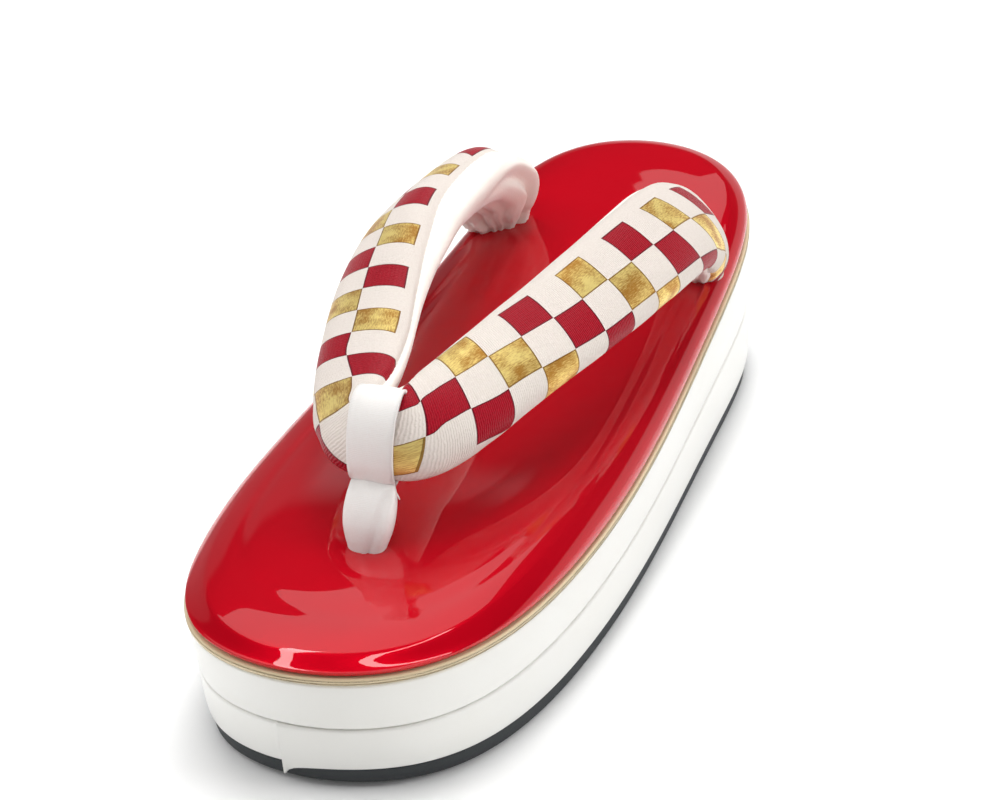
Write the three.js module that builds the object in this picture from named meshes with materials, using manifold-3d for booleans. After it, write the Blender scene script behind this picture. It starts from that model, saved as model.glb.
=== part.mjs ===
// A zori sandal: a rubber outsole, two wrapped platform layers, a welt, a cushioned footbed,
// a padded thong whose two arms meet at the front, and the toe loop that holds them down.
// Millimetres, +Z up. The toe points to -Y, the heel to +Y, and the ground is z = 0.

import * as THREE from "three";
import { mergeVertices } from "three/addons/utils/BufferGeometryUtils.js";
import Module from "manifold-3d";

const wasm = await Module();
wasm.setup();

// ---------------------------------------------------------------- driving sizes

const soleLength = 240;
const halfLength = soleLength / 2;
// Half width of the sole at angle t along its outline: the sum of size * sin(order * t).
// The toe is at t = 0 and the heel at t = PI.
const outlineWaves = [
  { order: 1, size: 48 },
  { order: 2, size: 2.5 },
  { order: 3, size: 6 },
  { order: 4, size: -1 },
  { order: 5, size: 1 },
];

// Share of its depth that the wall leans in: at the sides, more at the toe and less at the
// heel, and a little more at both ends.
const wallLean = { side: 0.06, ends: 0.08, both: 0.01 };

const outsoleThickness = 4;
const toeSpring = 2;
const springStart = -0.45; // share of the half length, forward of which the sole lifts
const gap = 0.3; // clearance between pieces that touch
const cutGap = 0.35; // clearance of a cut round a curved piece
const weltThickness = 1.6;
const weltProud = 0.5;
const layerCorner = 0.5; // rounded edge of each wrapped layer

const segments = 64; // round the outline
const innerRings = [0.35, 0.7]; // shares of the outline, for the flat faces

// Cushion of the footbed: inset from the outline against height above its seat.
const cushionEdge = [
  { inset: 1.2, rise: 0 },
  { inset: 0.3, rise: 1 },
  { inset: 0, rise: 2.4 },
  { inset: 0.6, rise: 4.4 },
  { inset: 2.2, rise: 6.1 },
  { inset: 5, rise: 7 },
  { inset: 10, rise: 6.9 },
];
// Crowned middle of the cushion: share of the inset outline against height above the seat.
const cushionCrown = [
  { share: 0.8, rise: 7.4 },
  { share: 0.55, rise: 8.2 },
  { share: 0.25, rise: 8.6 },
];
const cushionEdgeInset = 10;

// Right arm of the thong, from the middle of the V to the rear hole. halfWidth is measured
// across the band, halfHeight through its padding, tilt lowers its outer edge, in degrees.
const armStations = [
  { x: 0, y: -61.5, z: 61.3, halfWidth: 9.6, halfHeight: 5.4, tilt: 68 },
  { x: 6.5, y: -59.5, z: 61.4, halfWidth: 10.6, halfHeight: 5.6, tilt: 58 },
  { x: 11, y: -51, z: 62.4, halfWidth: 11.6, halfHeight: 5.9, tilt: 36 },
  { x: 16, y: -34, z: 64.2, halfWidth: 12.2, halfHeight: 6.1, tilt: 24 },
  { x: 21.5, y: -15, z: 66, halfWidth: 12.5, halfHeight: 6.2, tilt: 25 },
  { x: 26.6, y: 5, z: 67.4, halfWidth: 12.7, halfHeight: 6.4, tilt: 31 },
  { x: 30.4, y: 25, z: 68.2, halfWidth: 12.7, halfHeight: 6.6, tilt: 39 },
  { x: 31.8, y: 42, z: 66.8, halfWidth: 12.6, halfHeight: 6.8, tilt: 46 },
  { x: 31.1, y: 55, z: 62, halfWidth: 11.8, halfHeight: 7, tilt: 50 },
  { x: 29.6, y: 63.5, z: 54.5, halfWidth: 10.4, halfHeight: 7, tilt: 52 },
  { x: 28.4, y: 67, z: 47, halfWidth: 8.6, halfHeight: 6.8, tilt: 54 },
  { x: 27.8, y: 68.2, z: 41.8, halfWidth: 7.6, halfHeight: 6.2, tilt: 55 },
];
const leftArmSetback = 9; // the left rear hole sits this much further back than the right one
const setbackStart = 15; // the setback grows from here to the rear holes
const leftArmSag = 3; // and the left arm hangs this much lower on the way
const armSteps = 20; // rings along each arm
const bandSides = 16; // points round the band's section
const bandUnderside = 0.8; // depth of the underside against the crowned outer side

const loopHalfWidth = 6;
const loopThickness = 1.1;
const loopFront = -80; // the band's slab runs from here back to loopRear, between the arms
const loopRear = -56;
const loopBottom = 40;
const loopTop = 80;
// Stem of the toe loop, from the pinch under the V down into the front hole.
const stemStations = [
  { y: -67, z: 53.5, halfWidth: 4.9, halfDepth: 2.4 },
  { y: -68, z: 51, halfWidth: 4.9, halfDepth: 2.6 },
  { y: -70.4, z: 47.5, halfWidth: 5.8, halfDepth: 4 },
  { y: -72.8, z: 43.5, halfWidth: 5.7, halfDepth: 4.6 },
  { y: -74.8, z: 40, halfWidth: 4.6, halfDepth: 4.3 },
  { y: -75.6, z: 36.5, halfWidth: 4.2, halfDepth: 4.1 },
];
const stemSteps = 10;
const stemSides = 16;
const stemHoleClearance = 0.4;

// ---------------------------------------------------------------- heights of the layers

const along = (y) => y / halfLength;

function groundHeight(y) {
  const lift = Math.max(0, (springStart - along(y)) / (1 + springStart));
  return toeSpring * lift * lift;
}

const outsoleTop = (y) => groundHeight(y) + outsoleThickness;
const layerSeam = (y) => 17.2 + 2.4 * along(y) + 2.6 * along(y) ** 2;
const seatHeight = (y) => 32 + 5.5 * along(y) + 8 * along(y) ** 2 + 2 * along(y) ** 3;

// How far the wall has leaned in at a depth under the seat: most at the toe, least at the heel.
function wallInset(depth, normalY) {
  return depth * (wallLean.side - wallLean.ends * normalY + wallLean.both * normalY ** 2);
}

// ---------------------------------------------------------------- outline and rings

function outlineAt(t) {
  let x = 0;
  let slopeX = 0;
  for (const { order, size } of outlineWaves) {
    x += size * Math.sin(order * t);
    slopeX += size * order * Math.cos(order * t);
  }
  const y = -halfLength * Math.cos(t);
  const slopeY = halfLength * Math.sin(t);
  const length = Math.hypot(slopeX, slopeY);
  return { x, y, normalX: slopeY / length, normalY: -slopeX / length };
}

// One closed ring of points: the outline moved in by insetOf, shrunk to a share of itself,
// at the height heightOf gives.
function ring(insetOf, share, heightOf) {
  const points = [];
  for (let i = 0; i < segments; i += 1) {
    const edge = outlineAt((2 * Math.PI * i) / segments);
    const inset = insetOf(edge.y, edge.normalY);
    const x = share * (edge.x - edge.normalX * inset);
    const y = share * (edge.y - edge.normalY * inset);
    points.push(new THREE.Vector3(x, y, heightOf(y)));
  }
  return points;
}

// A closed solid from rings listed from its underside to its top, each counter-clockwise
// seen from the side that the list runs towards, with a middle point closing each end.
function solidFromRings(rings) {
  const count = rings[0].length;
  const positions = [];
  for (const points of rings) {
    for (const point of points) {
      positions.push(point.x, point.y, point.z);
    }
  }
  const first = positions.length / 3;
  for (const points of [rings[0], rings[rings.length - 1]]) {
    const middle = new THREE.Vector3();
    for (const point of points) {
      middle.addScaledVector(point, 1 / count);
    }
    positions.push(middle.x, middle.y, middle.z);
  }
  const indices = [];
  for (let level = 0; level + 1 < rings.length; level += 1) {
    for (let i = 0; i < count; i += 1) {
      const next = (i + 1) % count;
      const a = level * count + i;
      const b = level * count + next;
      indices.push(a, b, b + count, a, b + count, a + count);
    }
  }
  const top = (rings.length - 1) * count;
  for (let i = 0; i < count; i += 1) {
    const next = (i + 1) % count;
    indices.push(first, next, i);
    indices.push(first + 1, top + i, top + next);
  }
  const geometry = new THREE.BufferGeometry();
  geometry.setAttribute("position", new THREE.Float32BufferAttribute(positions, 3));
  geometry.setIndex(indices);
  return geometry;
}

// ---------------------------------------------------------------- joins and cuts

// A box geometry repeats its corners on each face, so they are merged before a cut.
function welded(geometry) {
  geometry.deleteAttribute("normal");
  geometry.deleteAttribute("uv");
  return mergeVertices(geometry);
}

function toManifold(geometry) {
  const mesh = new wasm.Mesh({
    numProp: 3,
    vertProperties: new Float32Array(geometry.getAttribute("position").array),
    triVerts: new Uint32Array(geometry.getIndex().array),
  });
  return new wasm.Manifold(mesh);
}

function toGeometry(manifold) {
  const mesh = manifold.getMesh();
  const geometry = new THREE.BufferGeometry();
  geometry.setAttribute("position", new THREE.Float32BufferAttribute(mesh.vertProperties, 3));
  geometry.setIndex(new THREE.Uint32BufferAttribute(mesh.triVerts, 1));
  return geometry;
}

// ---------------------------------------------------------------- sole

// A layer of the sole between two height functions, with its own edge profile: each row
// gives the share of the way up the wall and the extra inset there.
function soleLayer(bottomOf, topOf, edgeRows) {
  const rings = [];
  const wall = (height) => (y, normalY) => wallInset(seatHeight(y) - height(y), normalY);
  for (const share of innerRings) {
    rings.push(ring(wall(bottomOf), share, bottomOf));
  }
  for (const { up, extra } of edgeRows) {
    const height = (y) => bottomOf(y) + up(topOf(y) - bottomOf(y));
    const inset = (y, normalY) => wall(height)(y, normalY) + extra;
    rings.push(ring(inset, 1, height));
  }
  for (const share of [...innerRings].reverse()) {
    rings.push(ring(wall(topOf), share, topOf));
  }
  return solidFromRings(rings);
}

function roundedEdge(corner) {
  return [
    { up: () => 0, extra: corner },
    { up: () => corner, extra: 0 },
    { up: (height) => height - corner, extra: 0 },
    { up: (height) => height, extra: corner },
  ];
}

function outsole() {
  const edge = roundedEdge(0.6).map(({ up, extra }) => ({ up, extra: extra + 0.8 }));
  return soleLayer(groundHeight, outsoleTop, edge);
}

function lowerPlatform() {
  const bottom = (y) => outsoleTop(y) + gap;
  const top = (y) => layerSeam(y) - gap / 2;
  return soleLayer(bottom, top, roundedEdge(layerCorner));
}

function upperPlatform() {
  const bottom = (y) => layerSeam(y) + gap / 2;
  const top = (y) => seatHeight(y) - weltThickness - 2 * gap;
  return soleLayer(bottom, top, roundedEdge(layerCorner));
}

function welt() {
  const bottom = (y) => seatHeight(y) - weltThickness - gap;
  const top = (y) => seatHeight(y) - gap;
  const edge = roundedEdge(layerCorner).map(({ up, extra }) => ({ up, extra: extra - weltProud }));
  return soleLayer(bottom, top, edge);
}

// ---------------------------------------------------------------- thong and loop sweeps

// A station of the right arm mirrored to the left, set back along the footbed's slope.
function leftStation(row) {
  const rearHole = armStations[armStations.length - 1].y;
  const share = THREE.MathUtils.smoothstep(row.y, setbackStart, rearHole);
  const y = row.y + leftArmSetback * share;
  const z = row.z + seatHeight(y) - seatHeight(row.y) - leftArmSag * Math.sin(Math.PI * share);
  return { ...row, x: -row.x, y, z };
}

// The whole thong as rows from the rear end of the left arm, round the V, to the right one.
function thongRows() {
  return [...armStations.slice(1).reverse().map(leftStation), ...armStations];
}

// How far an end of a sweep moves along its tangent when the sweep is swollen.
function endShift(step, steps, grow) {
  if (step === 0) {
    return -grow;
  }
  return step === steps ? grow : 0;
}

// Closed sweep of the padded band. grow swells it evenly, to cut or cover it.
function thongSolid(grow) {
  const rows = thongRows();
  const centre = new THREE.CatmullRomCurve3(rows.map(({ x, y, z }) => new THREE.Vector3(x, y, z)));
  const sizes = new THREE.CatmullRomCurve3(
    rows.map(({ halfWidth, halfHeight, tilt }) => new THREE.Vector3(halfWidth, halfHeight, tilt)),
  );
  const up = new THREE.Vector3(0, 0, 1);
  const rings = [];
  const steps = 2 * armSteps;
  for (let step = 0; step <= steps; step += 1) {
    const share = step / steps;
    const tangent = centre.getTangent(share);
    const size = sizes.getPoint(share);
    const outward = new THREE.Vector3().crossVectors(tangent, up).normalize();
    const raised = new THREE.Vector3().crossVectors(outward, tangent);
    const tilt = THREE.MathUtils.degToRad(size.z);
    const across = outward.clone().multiplyScalar(Math.cos(tilt)).addScaledVector(raised, -Math.sin(tilt));
    const crown = outward.clone().multiplyScalar(Math.sin(tilt)).addScaledVector(raised, Math.cos(tilt));
    const points = [];
    for (let side = 0; side < bandSides; side += 1) {
      const angle = (2 * Math.PI * side) / bandSides;
      const depth = Math.sin(angle) * (Math.sin(angle) < 0 ? bandUnderside : 1);
      const point = centre.getPoint(share).addScaledVector(tangent, endShift(step, steps, grow));
      point.addScaledVector(across, (size.x + grow) * Math.cos(angle));
      point.addScaledVector(crown, size.y * depth + grow * Math.sin(angle));
      points.push(point);
    }
    rings.push(points.reverse());
  }
  return solidFromRings(rings);
}

function stemSolid(grow) {
  const centre = new THREE.CatmullRomCurve3(stemStations.map(({ y, z }) => new THREE.Vector3(0, y, z)));
  const sizes = new THREE.CatmullRomCurve3(
    stemStations.map(({ halfWidth, halfDepth }) => new THREE.Vector3(halfWidth, halfDepth, 0)),
  );
  const across = new THREE.Vector3(1, 0, 0);
  const rings = [];
  for (let step = 0; step <= stemSteps; step += 1) {
    const share = step / stemSteps;
    const size = sizes.getPoint(share);
    const tangent = centre.getTangent(share);
    const front = new THREE.Vector3().crossVectors(tangent, across).normalize();
    const points = [];
    for (let side = 0; side < stemSides; side += 1) {
      const angle = (2 * Math.PI * side) / stemSides;
      const point = centre.getPoint(share).addScaledVector(tangent, endShift(step, stemSteps, grow));
      point.addScaledVector(across, (size.x + grow) * Math.cos(angle));
      point.addScaledVector(front, (size.y + grow) * Math.sin(angle));
      points.push(point);
    }
    rings.push(points);
  }
  return solidFromRings(rings);
}

// Band folded over the V, cut between two swells of the thong, and joined to its stem.
function toeLoop() {
  const clear = toManifold(thongSolid(cutGap));
  const slab = new THREE.BoxGeometry(2 * loopHalfWidth, loopRear - loopFront, loopTop - loopBottom);
  slab.translate(0, (loopFront + loopRear) / 2, (loopBottom + loopTop) / 2);
  const wrap = toManifold(thongSolid(cutGap + loopThickness)).intersect(toManifold(welded(slab)));
  return toGeometry(wrap.add(toManifold(stemSolid(0))).subtract(clear));
}

// ---------------------------------------------------------------- footbed

function footbedBlank() {
  const rings = innerRings.map((share) => ring(() => cushionEdge[0].inset, share, seatHeight));
  for (const { inset, rise } of cushionEdge) {
    rings.push(ring(() => inset, 1, (y) => seatHeight(y) + rise));
  }
  for (const { share, rise } of cushionCrown) {
    rings.push(ring(() => cushionEdgeInset, share, (y) => seatHeight(y) + rise));
  }
  return solidFromRings(rings);
}

function footbed() {
  const blank = toManifold(footbedBlank());
  const arms = toManifold(thongSolid(cutGap));
  const stem = toManifold(stemSolid(stemHoleClearance));
  return toGeometry(blank.subtract(arms).subtract(stem));
}

// ---------------------------------------------------------------- assembly

const group = new THREE.Group();

function addPiece(name, geometry, color, roughness) {
  geometry.computeVertexNormals();
  const material = new THREE.MeshStandardMaterial({ color, roughness, metalness: 0 });
  const mesh = new THREE.Mesh(geometry, material);
  mesh.name = name;
  group.add(mesh);
}

addPiece("outsole", outsole(), 0x3c3e42, 0.8);
addPiece("lower_platform", lowerPlatform(), 0xe8e8e4, 0.35);
addPiece("upper_platform", upperPlatform(), 0xe8e8e4, 0.35);
addPiece("welt", welt(), 0xd7c8af, 0.6);
addPiece("footbed_cushion", footbed(), 0xc80014, 0.1);
addPiece("thong", thongSolid(0), 0xf0e4de, 0.7);
addPiece("toe_loop", toeLoop(), 0xf0eae6, 0.35);

export default group;
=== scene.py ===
import bisect
import math
from itertools import accumulate

import bpy
from mathutils import Matrix, Vector, noise


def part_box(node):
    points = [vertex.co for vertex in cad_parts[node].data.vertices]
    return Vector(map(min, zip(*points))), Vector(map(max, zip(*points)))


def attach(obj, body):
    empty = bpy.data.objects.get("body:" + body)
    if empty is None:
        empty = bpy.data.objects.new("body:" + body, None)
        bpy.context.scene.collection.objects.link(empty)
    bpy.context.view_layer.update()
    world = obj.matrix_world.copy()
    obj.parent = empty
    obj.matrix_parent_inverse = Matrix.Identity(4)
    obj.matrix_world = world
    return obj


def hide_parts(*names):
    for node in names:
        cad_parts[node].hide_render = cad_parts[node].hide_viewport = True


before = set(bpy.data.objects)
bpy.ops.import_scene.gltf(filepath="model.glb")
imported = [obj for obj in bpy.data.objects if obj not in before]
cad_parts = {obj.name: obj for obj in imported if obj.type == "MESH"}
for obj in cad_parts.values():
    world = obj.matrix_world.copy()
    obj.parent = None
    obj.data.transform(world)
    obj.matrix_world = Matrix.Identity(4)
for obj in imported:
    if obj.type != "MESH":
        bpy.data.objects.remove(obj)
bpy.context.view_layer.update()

bl_info = {
    "name": "Zori Sandal",
    "version": (1, 0, 0),
    "blender": (4, 5, 0),
    "location": "View3D > Sidebar > Zori",
    "description": "Builds the finished look of a zori sandal round its packed frame",
    "category": "Add Mesh",
}

# Tables are in millimetres and degrees, in the sandal's own frame: the toe points to -Y, the
# heel to +Y, and the floor is z = 0. Meshes are written in metres.
MM = 0.001
BODY = "root"

CUSHION_LOW, CUSHION_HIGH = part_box("footbed_cushion")
HALF_LENGTH = (CUSHION_HIGH.y - CUSHION_LOW.y) / 2 / MM

# ------------ the sole's form

# Half width of the sole at angle t round its outline: the sum of size * sin(order * t).
OUTLINE_WAVES = ((1, 48.0), (2, 2.5), (3, 6.0), (4, -1.0), (5, 1.0))
WALL_LEAN_SIDE, WALL_LEAN_ENDS, WALL_LEAN_BOTH = 0.06, 0.08, 0.01
SPRING_START, TOE_SPRING = -0.45, 2.0
OUTSOLE_THICKNESS = 4.0
LAP_ANGLE = -0.072  # where the lower wrap's ends lap, just left of the toe
HEEL_LAP_ANGLE = math.pi + 0.1  # where the upper wrap's ends lap, behind the heel

# Holes of the footbed, and how the cushion dips round them.
HOLES = (
    # x, y, reach of the dip, share of its depth
    (0.0, -75.2, 4.5, 0.35),
    (28.6, 67.4, 11.0, 1.0),
    (-28.6, 76.2, 11.0, 1.0),
)

# Cushion from its lower lip over the roll to the middle: inset from the outline, rise above
# its seat.
CUSHION_PROFILE = (
    # inset, rise
    (1.6, -0.2),
    (0.7, 0.2),
    (0.15, 1.0),
    (0.0, 2.2),
    (0.25, 3.3),
    (1.0, 4.5),
    (2.4, 5.6),
    (4.6, 6.6),
    (7.4, 7.25),
    (10.6, 7.6),
    (14.4, 7.85),
    (19.0, 8.0),
    (25.0, 8.15),
    (35.0, 8.4),
    (60.0, 8.6),
)
TOE_ROLL = 2.5  # how much thinner the cushion is at its rim round the toe
TOE_FALL, TOE_FALL_START = 1.8, -60.0  # how far its middle falls from there to the toe
TREAD_CROWN = 0.7  # how much fuller it is under the ball of the foot
EDGE_CREASE = 0.16  # shallow line in the vinyl along both sides, inside the roll
EDGE_CREASE_INSET = 9.5

# ------------ the thong's form

# Right arm from the middle of the V to the rear hole.
ARM_STATIONS = (
    # x, y, z, half width, half height, tilt of the outer edge
    (0.0, -61.5, 61.3, 9.6, 5.4, 68.0),
    (6.5, -59.5, 61.4, 10.6, 5.6, 58.0),
    (11.0, -51.0, 62.4, 11.6, 5.9, 36.0),
    (16.0, -34.0, 64.2, 12.2, 6.1, 24.0),
    (21.5, -15.0, 66.0, 12.5, 6.2, 25.0),
    (26.6, 5.0, 67.4, 12.7, 6.4, 31.0),
    (30.4, 25.0, 68.2, 12.7, 6.6, 39.0),
    (31.8, 42.0, 66.8, 12.6, 6.8, 46.0),
    (31.1, 55.0, 62.0, 11.8, 7.0, 50.0),
    (29.6, 63.5, 54.5, 10.4, 7.0, 52.0),
    (28.4, 67.0, 47.0, 8.6, 6.8, 54.0),
    (27.8, 68.2, 41.8, 7.6, 6.2, 55.0),
)
LEFT_SETBACK, SETBACK_START, LEFT_SAG = 9.0, 15.0, 3.0
UNDERSIDE_DEPTH = 0.8
BAND_SQUARENESS = 2.35  # 2 would make the section an ellipse
INNER_SEAM, OUTER_SEAM = 172.0, -20.0  # where the cover meets the lining round the section
SEAM_GROOVE, SEAM_REACH = 0.45, 7.0
BELLY = 6.5  # extra fullness of the left arm's lining under its inner edge, towards the rear
BELLY_ANGLE, BELLY_REACH = 226.0, 38.0
REAR_PLUMP = 0.55  # fullness of both arms just before they enter their holes
RIGHT_BELLY_SHARE = 0.1

# Folds of the lining where it gathers into a rear hole.
GATHER_FOLDS = (
    # angle round the section, half angle, depth
    (196.0, 7.0, 0.4),
    (210.0, 5.0, 0.5),
    (230.0, 8.0, 3.6),
    (246.0, 5.0, 0.6),
    (260.0, 6.5, 1.3),
    (275.0, 6.0, 1.3),
    (292.0, 8.0, 1.5),
    (318.0, 7.0, 1.0),
)
GATHER_LENGTH = 46.0
FOLD_DRIFT = 14.0  # how far the folds wander round the section as they fade out

# Soft troughs across the band, where the loop and the rear holes squeeze it.
BAND_CREASES = (
    # distance from the middle of the V, angle round the section, length, half angle, depth
    (9.5, 150.0, 1.6, 26.0, 0.55),
    (11.5, 30.0, 2.0, 22.0, 0.4),
    (15.0, 172.0, 2.2, 24.0, 0.45),
    (20.0, 8.0, 3.0, 20.0, 0.3),
    (9.0, 262.0, 2.0, 40.0, 0.6),
    (16.0, 235.0, 3.0, 30.0, 0.5),
    (126.0, 178.0, 3.4, 30.0, 0.7),
    (139.0, 165.0, 3.0, 34.0, 0.6),
)

# Band of the toe loop round the V, from the pinch up behind it, over it and down in front.
LOOP_PATH = (
    # y, z, half width
    (-66.6, 51.0, 4.6),
    (-63.6, 52.6, 5.0),
    (-59.4, 56.6, 4.4),
    (-56.8, 61.8, 4.2),
    (-55.9, 66.8, 4.6),
    (-57.0, 70.6, 5.3),
    (-60.0, 72.3, 6.0),
    (-63.3, 71.0, 6.3),
    (-66.2, 67.6, 6.2),
    (-68.1, 63.2, 6.1),
    (-69.0, 58.0, 6.0),
    (-68.7, 54.6, 5.9),
    (-67.4, 52.2, 5.5),
    (-66.4, 50.2, 4.8),
)
LOOP_THICKNESS = 1.0
LOOP_SIDES, STEM_SIDES = 14, 40  # points along each face of the band, and round the stem
STEM_SQUARENESS = 2.6

# Turns of thread round the pinch: y and z of their middle, half width, half depth, thread
# radius, and their trimmed end.
PINCH_Y, PINCH_Z, PINCH_HALF_WIDTH, PINCH_HALF_DEPTH, PINCH_THREAD = -67.9, 51.25, 5.25, 1.75, 0.16
PINCH_END = [(5.9, -68.6, 51.0), (6.5, -69.2, 50.6), (6.9, -69.4, 49.9)]

# Stem of the loop from the pinch down into the front hole.
STEM_STATIONS = (
    # y, z, half width, half depth
    (-67.2, 53.2, 4.6, 0.5),
    (-67.5, 52.6, 5.5, 1.6),
    (-68.3, 51.2, 5.9, 2.3),
    (-69.8, 48.8, 6.2, 2.9),
    (-71.4, 46.2, 6.3, 3.2),
    (-72.7, 43.6, 6.0, 3.2),
    (-73.6, 41.2, 5.3, 2.9),
    (-74.1, 39.2, 4.6, 2.6),
    (-74.5, 36.8, 4.2, 2.4),
)


# ------------ small maths


def smooth(edge_0, edge_1, value):
    share = min(1.0, max(0.0, (value - edge_0) / (edge_1 - edge_0)))
    return share * share * (3.0 - 2.0 * share)


def bump(distance, width):
    return math.exp(-((distance / width) ** 2))


def angle_gap(a, b):
    """Smallest difference of two angles in degrees."""
    return abs((a - b + 180.0) % 360.0 - 180.0)


def along_rows(rows, position):
    """A smooth curve through the rows of a table, at a row number that may be a fraction."""
    last = len(rows) - 1
    index = min(last - 1, max(0, int(position)))
    t = position - index
    a, b, c, d = (rows[min(last, max(0, index + k))] for k in (-1, 0, 1, 2))
    values = []
    for p, q, r, s in zip(a, b, c, d):
        cubic = 3.0 * (q - r) + s - p
        square = 2.0 * p - 5.0 * q + 4.0 * r - s
        values.append(q + 0.5 * t * (r - p + t * (square + t * cubic)))
    return values


# ------------ outline and heights


def outline(t):
    """Point and outward normal of the sole's outline at angle t."""
    x = sum(size * math.sin(order * t) for order, size in OUTLINE_WAVES)
    slope_x = sum(size * order * math.cos(order * t) for order, size in OUTLINE_WAVES)
    y = -HALF_LENGTH * math.cos(t)
    slope_y = HALF_LENGTH * math.sin(t)
    length = math.hypot(slope_x, slope_y)
    return x, y, slope_y / length, -slope_x / length


def ground(y):
    lift = max(0.0, (SPRING_START - y / HALF_LENGTH) / (1.0 + SPRING_START))
    return TOE_SPRING * lift * lift


def seam(y):
    u = y / HALF_LENGTH
    return 17.2 + 2.4 * u + 2.6 * u * u


def seat(y):
    u = y / HALF_LENGTH
    return 32.0 + 5.5 * u + 8.0 * u * u + 2.0 * u**3


def above(height_of, step):
    """A height function that stays a step above another."""
    return lambda y: height_of(y) + step


def wall_inset(depth, normal_y):
    return depth * (WALL_LEAN_SIDE - WALL_LEAN_ENDS * normal_y + WALL_LEAN_BOTH * normal_y**2)


def sole_point(t, share, extra, height_of):
    """A point of a flat ring: the outline moved in to its wall, then shrunk to a share."""
    x, y, normal_x, normal_y = outline(t)
    inset = wall_inset(seat(y) - height_of(y), normal_y) + extra
    px = share * (x - normal_x * inset)
    py = share * (y - normal_y * inset)
    return px, py, height_of(py)


# ------------ mesh building


def finished(mesh_name, points, faces=(), edges=()):
    """A smooth mesh object in metres, from points in millimetres."""
    mesh = bpy.data.meshes.new(mesh_name)
    mesh.from_pydata([(x * MM, y * MM, z * MM) for x, y, z in points], list(edges), list(faces))
    mesh.shade_smooth()
    mesh.validate()
    piece = bpy.data.objects.new(mesh_name, mesh)
    bpy.context.scene.collection.objects.link(piece)
    return piece


def loft(mesh_name, rings):
    """A closed skin over rings of equal count, each end closed by a fan on its middle."""
    count = len(rings[0])
    points = [point for one_ring in rings for point in one_ring]
    faces = []
    for level in range(len(rings) - 1):
        for i in range(count):
            j = (i + 1) % count
            a, b = level * count + i, level * count + j
            faces.append((a, b, b + count, a + count))
    for ring_start, turned in ((0, True), ((len(rings) - 1) * count, False)):
        middle = [sum(p[k] for p in points[ring_start : ring_start + count]) / count for k in range(3)]
        points.append(tuple(middle))
        centre = len(points) - 1
        for i in range(count):
            a, b = ring_start + i, ring_start + (i + 1) % count
            faces.append((centre, b, a) if turned else (centre, a, b))
    return finished(mesh_name, points, faces)


def write_uv(piece, layer_name, coordinate_of):
    """Fills a UV layer from a function of vertex index and face index."""
    layer = piece.data.uv_layers.new(name=layer_name)
    for polygon in piece.data.polygons:
        for loop_index in polygon.loop_indices:
            vertex = piece.data.loops[loop_index].vertex_index
            layer.data[loop_index].uv = coordinate_of(vertex, polygon.index)


def place(piece, material, slot_name, *nodes):
    """Gives a piece its material, and lets it stand for CAD nodes. Its slot name is not used."""
    piece.data.materials.clear()
    piece.data.materials.append(material)
    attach(piece, BODY)
    if nodes:
        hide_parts(*nodes)


def grown(seeds, tree, values):
    """Runs a Geometry Nodes tree on a piece, with inputs set by identifier, and leaves the
    result as its plain mesh."""
    modifier = seeds.modifiers.new(tree.name, "NODES")
    modifier.node_group = tree
    for socket in tree.interface.items_tree:
        if socket.name in values:
            modifier[socket.identifier] = values[socket.name]
    evaluated = seeds.evaluated_get(bpy.context.evaluated_depsgraph_get())
    mesh = bpy.data.meshes.new_from_object(evaluated)
    seeds.modifiers.clear()
    seeds.data = mesh
    return seeds


# ------------ node helpers


class Nodes:
    """A node tree with short calls for the nodes used here."""

    def __init__(self, tree):
        self.tree = tree

    def join(self, source, target):
        self.tree.links.new(source, target)

    def feed(self, target, value):
        if isinstance(value, bpy.types.NodeSocket):
            self.join(value, target)
        else:
            target.default_value = value

    def node(self, kind, inputs=(), **settings):
        """A new node with its settings, and its sockets fed by name or number."""
        made = self.tree.nodes.new(kind)
        for key, value in settings.items():
            setattr(made, key, value)
        for key, value in dict(inputs).items():
            self.feed(made.inputs[key], value)
        return made

    def math(self, operation, *values):
        return self.node("ShaderNodeMath", enumerate(values), operation=operation).outputs[0]

    def mix(self, factor, a, b):
        inputs = {"Factor": factor, 6: a, 7: b}
        return self.node("ShaderNodeMix", inputs, data_type="RGBA").outputs[2]

    def blend(self, factor, a, b):
        inputs = {"Factor": factor, 2: a, 3: b}
        return self.node("ShaderNodeMix", inputs, data_type="FLOAT").outputs[0]

    def scaled(self, vector, scale):
        inputs = {0: vector, 1: scale}
        return self.node("ShaderNodeVectorMath", inputs, operation="MULTIPLY").outputs[0]

    def split(self, vector):
        return self.node("ShaderNodeSeparateXYZ", {0: vector}).outputs

    def combined(self, *values):
        return self.node("ShaderNodeCombineXYZ", enumerate(values)).outputs[0]

    def noise(self, vector, scale, detail=2.0, roughness=0.5):
        inputs = {"Vector": vector, "Scale": scale, "Detail": detail, "Roughness": roughness}
        return self.node("ShaderNodeTexNoise", inputs).outputs["Fac"]

    def bump(self, height, strength, distance):
        inputs = {"Strength": strength, "Distance": distance, "Height": height}
        return self.node("ShaderNodeBump", inputs).outputs["Normal"]

    def fade(self, value, low, high):
        inputs = {"Value": value, "From Min": low, "From Max": high}
        ramp = self.node("ShaderNodeMapRange", inputs, interpolation_type="SMOOTHSTEP")
        return ramp.outputs["Result"]

    def group(self, tree_name, **values):
        inputs = {key.replace("_", " "): value for key, value in values.items()}
        tree = bpy.data.node_groups[tree_name]
        return self.node("ShaderNodeGroup", inputs, node_tree=tree).outputs

    def copies(self, result, material, **inputs):
        """Ends a Geometry Nodes tree: a shape copied to points, made real and painted."""
        spread = self.node("GeometryNodeInstanceOnPoints", inputs).outputs["Instances"]
        real = self.node("GeometryNodeRealizeInstances", {"Geometry": spread}).outputs["Geometry"]
        paint = self.node("GeometryNodeSetMaterial", {"Geometry": real, "Material": material})
        self.join(paint.outputs["Geometry"], result["Geometry"])


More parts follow.
